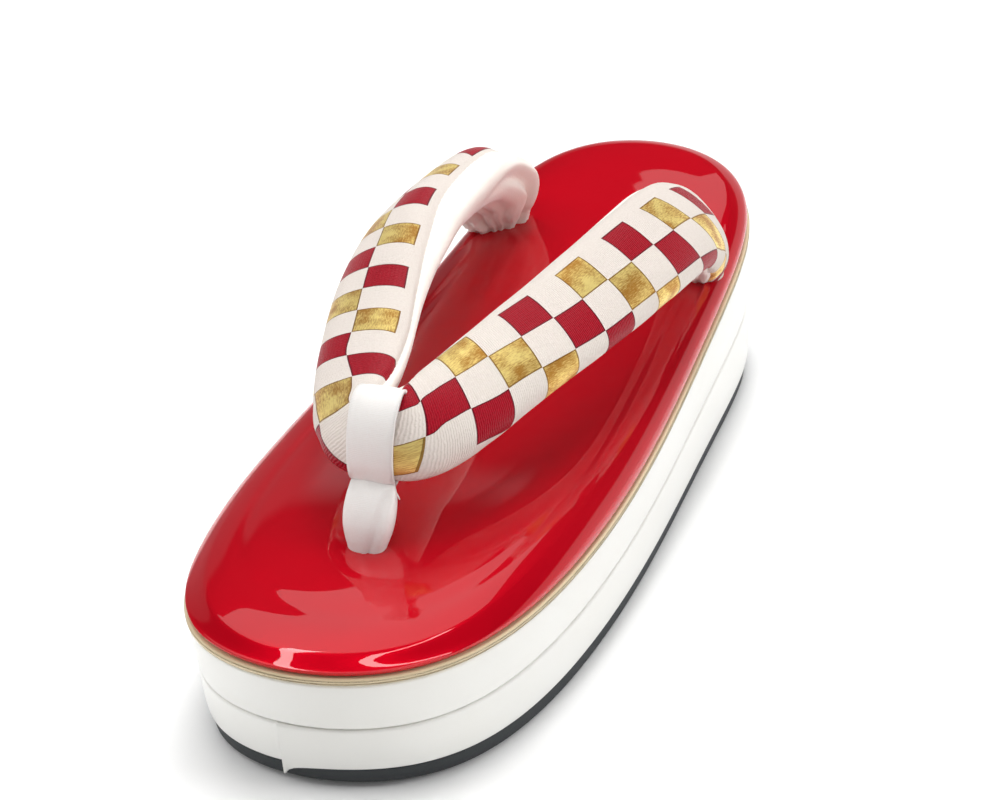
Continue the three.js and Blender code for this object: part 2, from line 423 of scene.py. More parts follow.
def new_group(group_name, amounts, results=()):
    """A shader node group that makes results of a vector, or without results a Geometry Nodes
    tree. Also gives the sockets inside it: what it is given, and where its result goes."""
    kind, main = ("ShaderNodeTree", "Vector") if results else ("GeometryNodeTree", "Geometry")
    tree = bpy.data.node_groups.new(group_name, kind)
    sockets = [(main, "INPUT", main)]
    sockets += [(label, "INPUT", "Float") for label in amounts]
    sockets += [(label, "OUTPUT", "Float") for label in results] or [(main, "OUTPUT", main)]
    for label, way, value_kind in sockets:
        tree.interface.new_socket(label, in_out=way, socket_type="NodeSocket" + value_kind)
    nodes = Nodes(tree)
    return nodes, nodes.node("NodeGroupInput").outputs, nodes.node("NodeGroupOutput").inputs


def vinyl_grain_group():
    """Soft waves under a coated cloth and the fine grain of its face."""
    nodes, given, result = new_group(
        "Vinyl Grain", ("Wave Amount", "Grain Amount"), ("Height", "Mottle")
    )
    waves = nodes.noise(given["Vector"], 90.0, 2.0, 0.35)
    grain = nodes.noise(given["Vector"], 900.0)
    tall = nodes.math("MULTIPLY", waves, given["Wave Amount"])
    fine = nodes.math("MULTIPLY", grain, given["Grain Amount"])
    nodes.join(nodes.math("ADD", tall, fine), result["Height"])
    nodes.join(nodes.noise(given["Vector"], 25.0, 3.0), result["Mottle"])


def ribbed_cloth_group():
    """Fine ribs across a band, broken up by uneven threads. The vector is in millimetres."""
    nodes, given, result = new_group(
        "Ribbed Cloth", ("Rib Pitch", "Thread Pitch"), ("Height", "Shade")
    )
    along, across, _ = nodes.split(given["Vector"])
    wobble = nodes.math("MULTIPLY", nodes.noise(given["Vector"], 0.8), 0.5)

    def ridges(coordinate, pitch):
        shifted = nodes.math("ADD", coordinate, wobble)
        turns = nodes.math("MULTIPLY", nodes.math("DIVIDE", shifted, pitch), 2.0 * math.pi)
        return nodes.math("MULTIPLY_ADD", nodes.math("SINE", turns), 0.5, 0.5)

    ribs = ridges(along, given["Rib Pitch"])
    threads = ridges(across, given["Thread Pitch"])
    nodes.join(nodes.math("MULTIPLY_ADD", threads, 0.35, ribs), result["Height"])
    # Shade is painted shade across the ribs, darker in their troughs, mixed with the uneven tone of
    # the threads.
    uneven = nodes.noise(given["Vector"], 1.6, 3.0)
    shade = nodes.math("MULTIPLY_ADD", ribs, 0.35, uneven)
    nodes.join(nodes.math("MULTIPLY", shade, 0.75), result["Shade"])


def checks_group():
    """Which check of the brocade a point lies in. The vector counts checks along and across
    the band, and the colours step by one check from row to row, so they run in diagonals."""
    nodes, given, result = new_group("Brocade Checks", ("Outline",), ("Red", "Gold", "Edge"))
    column, row, _ = nodes.split(given["Vector"])
    step = nodes.math("SUBTRACT", nodes.math("FLOOR", column), nodes.math("FLOOR", row))
    colour = nodes.math("FLOORED_MODULO", step, 4.0)
    below = nodes.math("LESS_THAN", row, 3.0)
    on_rows = nodes.math("MULTIPLY", below, nodes.math("GREATER_THAN", row, 0.0))
    red = nodes.math("MULTIPLY", nodes.math("COMPARE", colour, 0.0, 0.1), on_rows)
    gold = nodes.math("MULTIPLY", nodes.math("COMPARE", colour, 2.0, 0.1), on_rows)
    nodes.join(red, result["Red"])
    nodes.join(gold, result["Gold"])
    distances = []
    for coordinate in (column, row):
        part = nodes.math("FRACT", coordinate)
        distances.append(nodes.math("MINIMUM", part, nodes.math("SUBTRACT", 1.0, part)))
    nearest = nodes.math("MINIMUM", *distances)
    at_edge = nodes.math("LESS_THAN", nearest, given["Outline"])
    edge = nodes.math("MULTIPLY", at_edge, nodes.math("ADD", red, gold))
    nodes.join(edge, result["Edge"])


# ------------ materials


class Surface(Nodes):
    """The node tree of a new material, whose Principled sockets are set by name."""

    def __init__(self, material_name, **values):
        self.material = bpy.data.materials.new(material_name)
        self.material.use_nodes = True
        super().__init__(self.material.node_tree)
        self.set(**values)

    def set(self, **values):
        principled = self.tree.nodes["Principled BSDF"]
        for key, value in values.items():
            self.feed(principled.inputs[key.replace("_", " ")], value)

    def face(self, drift, tints, height, *relief):
        """A colour that drifts between two tints, over a relief. Gives the finished material."""
        self.set(Base_Color=self.mix(drift, *tints), Normal=self.bump(height, *relief))
        return self.material

    def where(self, layer_name=None):
        """Place on the piece, or the coordinate in a UV layer."""
        if layer_name:
            return self.node("ShaderNodeUVMap", uv_map=layer_name).outputs["UV"]
        return self.node("ShaderNodeTexCoord").outputs["Object"]


def tinted(colour, *factors):
    """A colour as RGBA, with its channels scaled by one factor or by three."""
    scales = factors * (3 // len(factors))
    return (*(min(1.0, scale * value) for scale, value in zip(scales, colour)), 1.0)


def shaded(colour, *factors):
    """The tint of a colour's shadows, and the colour itself."""
    return tinted(colour, *factors), tinted(colour, 1.0)


def vinyl_material(material_name, tints, waves, grain, relief, rough=(), **values):
    """A vinyl that drifts between two tints over soft waves and a fine grain. Its roughness
    can drift too, by an amount above a least value."""
    surface = Surface(material_name, **values)
    cloth = surface.group(
        "Vinyl Grain", Vector=surface.where(), Wave_Amount=waves, Grain_Amount=grain
    )
    if rough:
        surface.set(Roughness=surface.math("MULTIPLY_ADD", cloth["Mottle"], *rough))
    return surface.face(cloth["Mottle"], tints, cloth["Height"], *relief)


def patent_material(colours):
    tints = shaded(colours.patent_red, 0.82)
    return vinyl_material(
        "Red Patent Vinyl", tints, 1.0, 0.012, (0.14, 0.0012), Roughness=0.36, Metallic=0.45,
        Specular_IOR_Level=0.0, Coat_Weight=1.0, Coat_Roughness=0.015, Coat_IOR=1.48, IOR=1.5,
    )


def wrap_material(colours):
    warm, white = shaded(colours.wrap_white, 0.96, 0.945, 0.91)
    return vinyl_material(
        "Pearl Vinyl Wrap", (white, warm), 0.5, 0.35, (0.12, 0.0006), (0.12, 0.24),
        Coat_Weight=0.25, Coat_Roughness=0.2, IOR=1.5,
    )


def welt_material(colours):
    light, beige = shaded(colours.welt_beige, 1.12)
    return vinyl_material(
        "Beige Welt Piping", (beige, light), 0.3, 0.8, (0.3, 0.0003), (0.2, 0.4), Coat_Weight=0.1
    )


def rubber_material(colours):
    surface = Surface("Charcoal Rubber", Specular_IOR_Level=0.4)
    speckle = surface.noise(surface.where(), 1400.0, 3.0, 0.7)
    patches = surface.noise(surface.where(), 60.0, 3.0)
    dusty, rubber = shaded(colours.rubber, 1.7)
    surface.set(Roughness=surface.math("MULTIPLY_ADD", patches, 0.25, 0.5))
    return surface.face(patches, (rubber, dusty), speckle, 0.45, 0.0002)


def brocade_material(colours, sizes):
    surface = Surface(
        "Checked Brocade", Sheen_Weight=0.03, Sheen_Roughness=0.4, Specular_IOR_Level=0.2
    )
    cell = surface.where("checks")
    threads = surface.scaled(cell, (sizes.check_size / MM, sizes.check_size / MM, 1.0))
    weave = surface.group("Ribbed Cloth", Vector=threads, Rib_Pitch=0.52, Thread_Pitch=0.36)
    satin = surface.group("Ribbed Cloth", Vector=threads, Rib_Pitch=0.48, Thread_Pitch=0.9)
    marks = surface.group("Brocade Checks", Vector=cell, Outline=0.034)
    on_red, on_gold = marks["Red"], marks["Gold"]
    coloured = surface.math("ADD", on_gold, on_red)

    crinkle = surface.noise(surface.scaled(threads, (0.8, 3.2, 1.0)), 1.0, 3.0, 0.7)
    broad = surface.noise(threads, 0.16, 1.0)
    foil = surface.math("MULTIPLY_ADD", broad, 0.6, surface.math("MULTIPLY", crinkle, 0.55))
    glint = surface.fade(foil, 0.44, 0.7)
    white, red, gold = colours.brocade_white, colours.brocade_red, colours.brocade_gold
    # Painted light in the checks: white and red drift by the weave's painted shade, the red up to a
    # painted brighter sheen; gold drifts from a painted shaded gold to a painted glint along the
    # crinkled foil.
    white_face = surface.mix(weave["Shade"], *shaded(white, 0.8, 0.76, 0.73))
    red_face = surface.mix(satin["Shade"], tinted(red, 0.55), tinted(red, 1.5, 3.0, 2.2))
    gold_face = surface.mix(glint, tinted(gold, 0.55, 0.45, 0.3), tinted(gold, 1.3, 1.45, 2.0))
    face = surface.mix(on_gold, surface.mix(on_red, white_face, red_face), gold_face)
    rim = surface.mix(on_gold, tinted(red, 0.3, 1.0, 1.0), tinted(gold, 0.27, 0.22, 0.15))

    height = surface.blend(on_gold, weave["Height"], crinkle)
    height = surface.blend(on_red, height, satin["Height"])
    height = surface.math("ADD", height, surface.math("MULTIPLY", coloured, 0.8))
    surface.set(
        Base_Color=surface.mix(surface.math("MULTIPLY", marks["Edge"], 0.85), face, rim),
        Metallic=surface.math("MULTIPLY", on_gold, 0.65),
        Roughness=surface.blend(coloured, 0.8, 0.42),
        Normal=surface.bump(height, 0.6, 0.00016),
    )
    return surface.material


def lining_material(colours):
    surface = Surface("Velvet Lining", Roughness=0.92, Sheen_Weight=0.5, Sheen_Roughness=0.35)
    nap = surface.noise(surface.where(), 2200.0, 2.0, 0.7)
    patches = surface.noise(surface.where(), 120.0, 3.0)
    height = surface.math("MULTIPLY_ADD", patches, 1.5, nap)
    tints = shaded(colours.lining_white, 0.88, 0.83, 0.79)
    return surface.face(patches, tints, height, 0.35, 0.00022)


def satin_material(colours):
    surface = Surface(
        "Pearl Satin Band", Sheen_Weight=0.35, Sheen_Roughness=0.3, Coat_Weight=0.12
    )
    threads = surface.where("threads")
    weave = surface.group("Ribbed Cloth", Vector=threads, Rib_Pitch=0.34, Thread_Pitch=0.3)
    surface.set(Roughness=surface.math("MULTIPLY_ADD", weave["Shade"], 0.2, 0.3))
    # The satin drifts to its darker tint by the weave's painted shade and uneven thread tone.
    tints = shaded(colours.satin_white, 0.96, 0.92, 0.9)
    return surface.face(weave["Shade"], tints, weave["Height"], 0.35, 0.00008)


def thread_material(colours):
    surface = Surface("White Sewing Thread", Roughness=0.6)
    twist = surface.noise(surface.where(), 3000.0)
    return surface.face(twist, shaded(colours.satin_white, 0.8), twist, 0.4, 0.0001)


def floor_material():
    surface = Surface("Pale Floor", Roughness=0.55)
    cloud = surface.noise(surface.where(), 1.5)
    pale, paler = (0.95, 0.95, 0.95, 1.0), (0.98, 0.98, 0.98, 1.0)
    surface.set(Base_Color=surface.mix(cloud, pale, paler))
    return surface.material


# ------------ settings


def length_property(label, note, value, least=0.0):
    return bpy.props.FloatProperty(
        name=label, description=note, default=value * MM, unit="LENGTH", min=least * MM
    )


class ZoriSizes(bpy.types.PropertyGroup):
    check_size: length_property("Check size", "Brocade check that its threads suit", 10.0, 2.0)
    stitch_pitch: length_property("Stitch pitch", "Distance between seam stitches", 3.2, 1.0)
    stitch_length: length_property("Stitch length", "Length of one stitch", 1.3, 0.5)
    thread_width: length_property("Thread width", "Diameter of the sewing thread", 0.28, 0.1)
    rib_pitch: length_property("Tread pitch", "Distance between ribs under the sole", 6.0, 2.0)
    hole_dip: length_property("Hole dip", "How far the cushion is drawn in at a hole", 1.6)


def colour_property(label, note, value):
    return bpy.props.FloatVectorProperty(
        name=label, description=note, default=value, subtype="COLOR", size=3, min=0.0, max=1.0
    )


class ZoriColours(bpy.types.PropertyGroup):
    patent_red: colour_property("Patent red", "Footbed vinyl", (0.6, 0.0005, 0.011))
    wrap_white: colour_property("Wrap white", "Platform vinyl", (0.83, 0.83, 0.81))
    welt_beige: colour_property("Welt beige", "Piping under the footbed", (0.66, 0.54, 0.35))
    rubber: colour_property("Rubber", "Outsole", (0.025, 0.028, 0.03))
    brocade_white: colour_property("Brocade white", "Ground of the brocade", (0.8, 0.74, 0.69))
    brocade_red: colour_property("Brocade red", "Red checks", (0.31, 0.001, 0.009))
    brocade_gold: colour_property("Brocade gold", "Gold checks", (0.98, 0.55, 0.14))
    lining_white: colour_property("Lining white", "Velvet lining", (0.95, 0.91, 0.86))
    satin_white: colour_property("Satin white", "Toe loop and thread", (0.89, 0.88, 0.86))


# ------------ sole pieces


SOLE_SEGMENTS = 320
FLAT_SHARES = (0.25, 0.5, 0.75, 0.9)
LAP_STEP = 0.6  # thickness of the wrap where it laps itself
LAP_TONGUE = 1.7  # how far the lap's corner hangs below the wrap
LAP_FADE, LAP_EDGE = 0.16, 0.012  # angles over which the lap sinks back and its edge turns
LAP_LIP, LAP_DENT = 0.35, 0.25  # how the edge stands out, and how the wrap sinks before it
LAYER_GAP = 0.1
WRAP_CORNER, WRAP_BULGE = 0.9, 0.25
WRAP_TOP, WELT_LOW, WELT_HIGH = 2.2, 2.1, 0.15  # depths below the seat
RIM_WIDTH, RIM_STEP = 4.0, 0.4  # flat rim round the tread, and the slope inside it
RIB_WIDTH, RIB_HEIGHT, SHORTEST_HALF_RIB = 3.2, 1.2, 8.0
TREAD_START, TREAD_MARGIN = 9.0, 14.0  # before the first rib, and at both ends together
CUSHION_SIDES = 288
ROLL_ROWS, ROLL_STEPS = 7, 6  # rows of the profile that make the roll, and rings to a row
FACE_RINGS = 90


def sole_angles(lap=None):
    """Angles round the outline, with a close pair at a lap so that its step is crisp."""
    angles = [2.0 * math.pi * i / SOLE_SEGMENTS for i in range(SOLE_SEGMENTS)]
    if lap is not None:
        crisp = [(lap + step) % (2.0 * math.pi) for step in (-0.006, 0.0, 0.006, 0.012)]
        angles = [a for a in angles if min(abs(a - c) for c in crisp) > 0.005]
        for angle in crisp:
            bisect.insort(angles, angle)
    return angles


def lap_lift(t, lap):
    """How far the wrap stands out at angle t: a step at the lap, then a slow fade."""
    past = (t - lap + 0.001) % (2.0 * math.pi)
    if past > math.pi:
        return -LAP_DENT * math.exp((past - 2.0 * math.pi) / LAP_EDGE)
    return LAP_STEP * (math.exp(-past / LAP_FADE) + LAP_LIP * math.exp(-past / LAP_EDGE))


def rounded_wall(corner, steps=5):
    """Rows up a wall with rounded edges: share of the height, height above it, extra inset."""
    turn = [0.5 * math.pi * i / steps for i in range(steps + 1)]
    low = [(0.0, corner * (1.0 - math.cos(a)), corner * (1.0 - math.sin(a))) for a in turn]
    high = [(1.0, -corner * (1.0 - math.sin(a)), corner * (1.0 - math.cos(a))) for a in turn]
    middle = [(share, 0.0, 0.0) for share in (0.25, 0.5, 0.75)]
    return low + middle + high


def sole_layer(
    mesh_name, bottom_of, top_of, corner, extra=0.0, lap=None, bulge=0.0, recess=0.0, tongue=0.0
):
    """A layer of the sole between two height functions, with rounded edges. With a recess, its
    underside is hollowed inside a rim."""
    angles = sole_angles(lap)

    def flat(share, inset, height_of):
        return [sole_point(t, share, inset, height_of) for t in angles]

    if recess:
        inner, hollow = extra + RIM_WIDTH + RIM_STEP, above(bottom_of, recess)
        rings = [flat(share, inner, hollow) for share in (*FLAT_SHARES, 1.0)]
        rings.append(flat(1.0, extra + RIM_WIDTH, bottom_of))
    else:
        rings = [flat(share, extra, bottom_of) for share in FLAT_SHARES]
    for share, lift, inset in rounded_wall(corner):
        def height_of(y, share=share, lift=lift):
            return bottom_of(y) + share * (top_of(y) - bottom_of(y)) + lift

        one_ring = []
        for t in angles:
            raised = lap_lift(t, lap) if lap is not None else 0.0
            out = raised + bulge * math.sin(math.pi * share)
            x, y, z = sole_point(t, 1.0, extra + inset - out, height_of)
            if raised > 0.0:
                hang = raised / LAP_STEP
                z -= tongue * hang**2 * smooth(0.3, 0.0, share)
            one_ring.append((x, y, z))
        rings.append(one_ring)
    rings += [flat(share, extra, top_of) for share in reversed(FLAT_SHARES)]
    return loft(mesh_name, rings)


class ZORI_OT_outsole(bpy.types.Operator):
    """Rubber outsole with ribs under it"""

    bl_idname = "zori.outsole"
    bl_label = "Outsole"

    def execute(self, context):
        rubber = rubber_material(context.scene.zori_colours)
        top = above(ground, OUTSOLE_THICKNESS)
        sole = sole_layer("outsole_rubber", ground, top, 0.7, extra=0.8, recess=RIB_HEIGHT)
        place(sole, rubber, "outsole_rubber", "outsole")
        place(tread_ribs(context.scene.zori_sizes, rubber), rubber, "outsole_rubber")
        return {"FINISHED"}


def tread_half_width(y):
    """Half width of the hollow under the sole at y, just inside its rim."""
    t = math.acos(max(-1.0, min(1.0, -y / (HALF_LENGTH - 5.0))))
    x, _, _, normal_y = outline(t)
    return x - wall_inset(seat(y), normal_y) - RIM_WIDTH - 3.0


def tread_ribs(sizes, rubber):
    """Ribs across the underside, made by Geometry Nodes from one point for each rib."""
    pitch = sizes.rib_pitch / MM
    count = int((2.0 * HALF_LENGTH - TREAD_MARGIN) / pitch)
    points, spans = [], []
    for i in range(count):
        y = -HALF_LENGTH + TREAD_START + i * pitch
        half = min(tread_half_width(y - RIB_WIDTH / 2), tread_half_width(y + RIB_WIDTH / 2))
        if half > SHORTEST_HALF_RIB:
            points.append((0.0, y, ground(y) + RIB_HEIGHT / 2.0))
            spans.append(2.0 * half * MM)
    seeds = finished("outsole_ribs", points)
    seeds.data.attributes.new("span", "FLOAT", "POINT").data.foreach_set("value", spans)

    nodes, given, result = new_group("Tread Ribs", ("Rib Width", "Rib Height"))
    size = nodes.combined(1.0, given["Rib Width"], given["Rib Height"])
    bar = nodes.node("GeometryNodeMeshCube", {"Size": size}).outputs["Mesh"]
    span = nodes.node("GeometryNodeInputNamedAttribute", {"Name": "span"}, data_type="FLOAT")
    stretch = nodes.combined(span.outputs["Attribute"], 1.0, 1.0)
    nodes.copies(result, rubber, Points=given["Geometry"], Instance=bar, Scale=stretch)
    return grown(seeds, nodes.tree, {"Rib Width": RIB_WIDTH * MM, "Rib Height": RIB_HEIGHT * MM})


class ZORI_OT_platform(bpy.types.Operator):
    """Two platform layers wrapped in pearl vinyl, each with the lap of its wrap"""

    bl_idname = "zori.platform"
    bl_label = "Platform layers"

    def execute(self, context):
        wrap = wrap_material(context.scene.zori_colours)
        bottom = above(above(ground, OUTSOLE_THICKNESS), LAYER_GAP)
        for name, bottom_of, top_of, lap, tongue in (
            ("lower_platform", bottom, above(seam, -LAYER_GAP), LAP_ANGLE, LAP_TONGUE),
            ("upper_platform", above(seam, LAYER_GAP), above(seat, -WRAP_TOP), HEEL_LAP_ANGLE, 0.0),
        ):
            layer = sole_layer(
                name + "_wrap", bottom_of, top_of, WRAP_CORNER, 0.0, lap, WRAP_BULGE, 0.0, tongue
            )
            place(layer, wrap, "platform_vinyl", name)
        return {"FINISHED"}


class ZORI_OT_welt(bpy.types.Operator):
    """Beige piping between the platform and the footbed"""

    bl_idname = "zori.welt"
    bl_label = "Welt"

    def execute(self, context):
        bottom, top = above(seat, -WELT_LOW), above(seat, -WELT_HIGH)
        piping = sole_layer("welt_piping", bottom, top, 0.85, extra=-0.5)
        place(piping, welt_material(context.scene.zori_colours), "welt_vinyl", "welt")
        return {"FINISHED"}


def hole_dips(x, y, depth):
    """How far the cushion is drawn down round its holes, with small puckers."""
    drop = 0.0
    for hole_x, hole_y, reach, share in HOLES:
        distance = math.hypot(x - hole_x, y - hole_y)
        turn = math.atan2(y - hole_y, x - hole_x)
        pucker = 1.0 + 0.22 * math.cos(5.0 * turn + 0.7) * bump(distance - 0.8 * reach, 3.0)
        drop += share * depth * pucker * bump(distance, reach)
    return drop


def toe_fall(y, inset, rise):
    """How far the cushion falls towards the toe, from the fuller part before it."""
    share = max(0.0, (TOE_FALL_START - y) / (HALF_LENGTH + TOE_FALL_START))
    roll = TOE_ROLL * smooth(-40.0, -112.0, y) * math.exp(-inset / 14.0)
    crown = TREAD_CROWN * bump(y - TOE_FALL_START, 30.0) * smooth(0.0, 20.0, inset)
    return (roll + TOE_FALL * share**2 - crown) * smooth(0.5, 6.0, rise)


def cushion_height(x, y, inset, dip):
    """Height of the cushion's face inside its roll."""
    rows = CUSHION_PROFILE
    index = max(1, min(len(rows) - 2, bisect.bisect([row[0] for row in rows[4:]], inset) + 3))
    low, high = rows[index][0], rows[index + 1][0]
    rise = along_rows(rows, index + (inset - low) / (high - low))[1]
    side = smooth(60.0, 20.0, abs(y + 20.0) - 40.0)
    crease = EDGE_CREASE * side * bump(inset - EDGE_CREASE_INSET, 1.3)
    return seat(y) + rise - toe_fall(y, inset, rise) - crease - hole_dips(x, y, dip)


class ZORI_OT_footbed(bpy.types.Operator):
    """Cushioned footbed in red patent vinyl, drawn in round its three holes"""

    bl_idname = "zori.footbed"
    bl_label = "Footbed"

    def execute(self, context):
        dip = context.scene.zori_sizes.hole_dip / MM
        edges = [outline(2.0 * math.pi * i / CUSHION_SIDES) for i in range(CUSHION_SIDES)]
        lip_inset, lip_rise = CUSHION_PROFILE[0]
        rings = []
        for share in (0.3, 0.7, 0.93):
            ring = self.inside(edges, share, lip_inset)
            rings.append([(x, y, seat(y) + lip_rise) for x, y in ring])
        for step in range(ROLL_ROWS * ROLL_STEPS):
            inset, rise = along_rows(CUSHION_PROFILE, step / ROLL_STEPS)
            ring = self.inside(edges, 1.0, inset)
            rings.append([(x, y, seat(y) + rise - toe_fall(y, inset, rise)) for x, y in ring])
        roll_inset = along_rows(CUSHION_PROFILE, ROLL_ROWS)[0]
        for step in range(FACE_RINGS):
            share = 1.0 - step / FACE_RINGS
            inset = roll_inset + (1.0 - share) * 40.0
            ring = self.inside(edges, share, roll_inset)
            rings.append([(x, y, cushion_height(x, y, inset, dip)) for x, y in ring])
        cushion = loft("footbed_vinyl", rings)
        patent = patent_material(context.scene.zori_colours)
        place(cushion, patent, "footbed_patent", "footbed_cushion")
        return {"FINISHED"}

    @staticmethod
    def inside(edges, share, inset):
        """The outline moved in by an inset, then shrunk to a share."""
        return [(share * (x - nx * inset), share * (y - ny * inset)) for x, y, nx, ny in edges]


# ------------ thong


BAND_RINGS = 200
COVER_SIDES, LINING_SIDES = 40, 60


def left_station(row):
    """A station of the right arm mirrored to the left, set back along the footbed's slope."""
    x, y, z, half_width, half_height, tilt = row
    share = smooth(SETBACK_START, ARM_STATIONS[-1][1], y)
    back = y + LEFT_SETBACK * share
    lower = z + seat(back) - seat(y) - LEFT_SAG * math.sin(math.pi * share)
    return -x, back, lower, half_width, half_height, tilt


def thong_rows():
    return [left_station(row) for row in reversed(ARM_STATIONS[1:])] + list(ARM_STATIONS)


def band_angles():
    """Angles round the section: the cover from seam to seam over the crown, then the lining."""
    cover = [INNER_SEAM + (OUTER_SEAM - INNER_SEAM) * i / COVER_SIDES for i in range(COVER_SIDES)]
    turn = INNER_SEAM - 360.0 - OUTER_SEAM
    lining = [OUTER_SEAM + turn * i / LINING_SIDES for i in range(LINING_SIDES)]
    return cover + lining


def section_point(angle, half_width, half_height, distance, to_end):
    """Offsets across and through the band at an angle round its section."""
    side = 1.0 if distance > 0.0 else -1.0
    turn = math.radians(angle)
    across, depth = math.cos(turn), math.sin(turn)
    square = BAND_SQUARENESS
    fullness = 1.0 / (abs(across) ** square + abs(depth) ** square) ** (1.0 / square)
    across *= fullness * half_width
    depth *= fullness * half_height * (UNDERSIDE_DEPTH if depth < 0.0 else 1.0)
    groove = 0.0
    for seam_angle in (INNER_SEAM, OUTER_SEAM):
        groove += SEAM_GROOVE * bump(angle_gap(angle, seam_angle), SEAM_REACH)
    gather = smooth(GATHER_LENGTH, 0.35 * GATHER_LENGTH, to_end)
    for fold_angle, reach, fold_depth in GATHER_FOLDS:
        drift = FOLD_DRIFT * side * (1.0 - gather) * math.cos(fold_angle)
        groove += gather * fold_depth * bump(angle_gap(angle, fold_angle + drift), reach)
    plump = REAR_PLUMP * smooth(30.0, 12.0, to_end) * smooth(2.0, 8.0, to_end)
    belly = smooth(40.0, 112.0, abs(distance)) * smooth(0.0, 16.0, to_end)
    belly *= RIGHT_BELLY_SHARE if distance > 0.0 else 1.0
    plump += BELLY * belly * bump(angle_gap(angle, BELLY_ANGLE), BELLY_REACH)
    size = math.hypot(across, depth)
    scale = (size - groove + plump) / size
    return across * scale, depth * scale


def band_creases(distance, angle):
    """Depth of the troughs at a distance along the band and an angle round it."""
    drop = 0.0
    for at, turn_at, length, reach, depth in BAND_CREASES:
        drop += depth * bump(abs(distance) - at, length) * bump(angle_gap(angle, turn_at), reach)
    return drop


def right_chart(distance, girth):
    """The cloth runs askew at the V and comes straight towards the heel."""
    skew = min(0.6 - 0.0068 * distance, 0.15 + 0.02 * distance)
    skew -= 0.02 * max(0.0, distance - 95.0)
    along = distance + skew * (girth - 14.3)
    # Columns are a little shorter towards the heel.
    column = 0.415 + 0.0715 * along + 0.0002 * along * abs(along)
    # The rows start at the seam by the V and further round the band beyond it.
    start = 7.7 * smooth(-5.0, 70.0, distance) - 1.4
    row_height = 7.4 + 2.0 * smooth(5.0, 30.0, distance)
    return column, (girth - start) / row_height


def left_chart(distance, girth):
    """The same for the left arm, where the cloth is cut at another place of its repeat."""
    along = distance - 0.35 * (girth - 13.3)
    column = 0.107 * along - 2.03
    start = 8.0 * smooth(8.0, 34.0, distance) - 4.5 - 0.03 * max(0.0, distance - 60.0)
    row_height = 12.4 - 0.02 * distance
    return column, (girth - start) / row_height


class ZORI_OT_thong(bpy.types.Operator):
    """Padded thong: a checked brocade cover over a velvet lining, in one soft band"""

    bl_idname = "zori.thong"
    bl_label = "Thong"

    def execute(self, context):
        sizes, colours = context.scene.zori_sizes, context.scene.zori_colours
        rows = thong_rows()
        positions = [(len(rows) - 1) * i / BAND_RINGS for i in range(BAND_RINGS + 1)]
        centres = [Vector(along_rows(rows, p)[:3]) for p in positions]
        steps = ((after - before).length for before, after in zip(centres, centres[1:]))
        travelled = list(accumulate(steps, initial=0.0))
        marks = [length - travelled[BAND_RINGS // 2] for length in travelled]
        angles = band_angles()
        rings, girths = [], []
        for position, length, distance in zip(positions, travelled, marks):
            to_end = min(length, travelled[-1] - length)
            ring = self.ring(rows, position, distance, to_end, angles)
            sides = (math.dist(before, after) for before, after in zip(ring, ring[1:] + ring[:1]))
            rings.append(ring)
            girths.append(list(accumulate(sides, initial=0.0)))
        band = loft("thong_band", rings)
        count = len(angles)

        def cell(vertex, face):
            ring_index, turn_index = divmod(vertex, count)
            face_ring, face_turn = divmod(face, count)
            if ring_index > BAND_RINGS:
                return 0.0, 0.0
            if turn_index == 0 and face_turn == count - 1:
                turn_index = count
            chart = right_chart if face_ring >= BAND_RINGS // 2 else left_chart
            return chart(abs(marks[ring_index]), girths[ring_index][turn_index])

        write_uv(band, "checks", cell)
        place(band, brocade_material(colours, sizes), "thong_brocade", "thong")
        band.data.materials.append(lining_material(colours))
        for polygon in band.data.polygons:
            on_cover = polygon.index < BAND_RINGS * count and polygon.index % count < COVER_SIDES
            polygon.material_index = 0 if on_cover else 1
        return {"FINISHED"}

    @staticmethod
    def ring(rows, position, distance, to_end, angles):
        x, y, z, half_width, half_height, tilt = along_rows(rows, position)
        ahead = Vector(along_rows(rows, min(len(rows) - 1.0, position + 0.02))[:3])
        behind = Vector(along_rows(rows, max(0.0, position - 0.02))[:3])
        tangent = (ahead - behind).normalized()
        outward = tangent.cross(Vector((0.0, 0.0, 1.0))).normalized()
        raised = outward.cross(tangent)
        lean = math.radians(tilt)
        across = outward * math.cos(lean) - raised * math.sin(lean)
        crown = outward * math.sin(lean) + raised * math.cos(lean)
        points = []
        for angle in angles:
            a, d = section_point(angle, half_width, half_height, distance, to_end)
            shrink = 1.0 - band_creases(distance, angle) / math.hypot(a, d)
            uneven = 1.0 + 0.012 * noise.noise(Vector((distance * 0.09, angle * 0.03, 0.5)))
            points.append(tuple(Vector((x, y, z)) + (across * a + crown * d) * shrink * uneven))
        return points


# ------------ toe loop


def loop_sweep(mesh_name, stations, steps, section_at, *thread_sizes):
    """Sections carried along a path in the sandal's middle plane. Its threads are counted in
    a UV layer by ring and by side, with the size of each step."""
    last = len(stations) - 1
    rings = []
    for i in range(steps + 1):
        position = last * i / steps
        y, z, *sizes = along_rows(stations, position)
        ahead = along_rows(stations, min(last, position + 0.05))
        behind = along_rows(stations, max(0.0, position - 0.05))
        tangent = Vector((0.0, ahead[0] - behind[0], ahead[1] - behind[1])).normalized()
        front = tangent.cross(Vector((1.0, 0.0, 0.0)))
        section = section_at(position, *sizes)
        rings.append([tuple(Vector((a, y, z)) + front * through) for a, through in section])
    piece = loft(mesh_name, rings)
    sides = len(rings[0])

    def threads(vertex, face):
        return tuple(size * step for size, step in zip(thread_sizes, divmod(vertex, sides)))

    write_uv(piece, "threads", threads)
    return piece


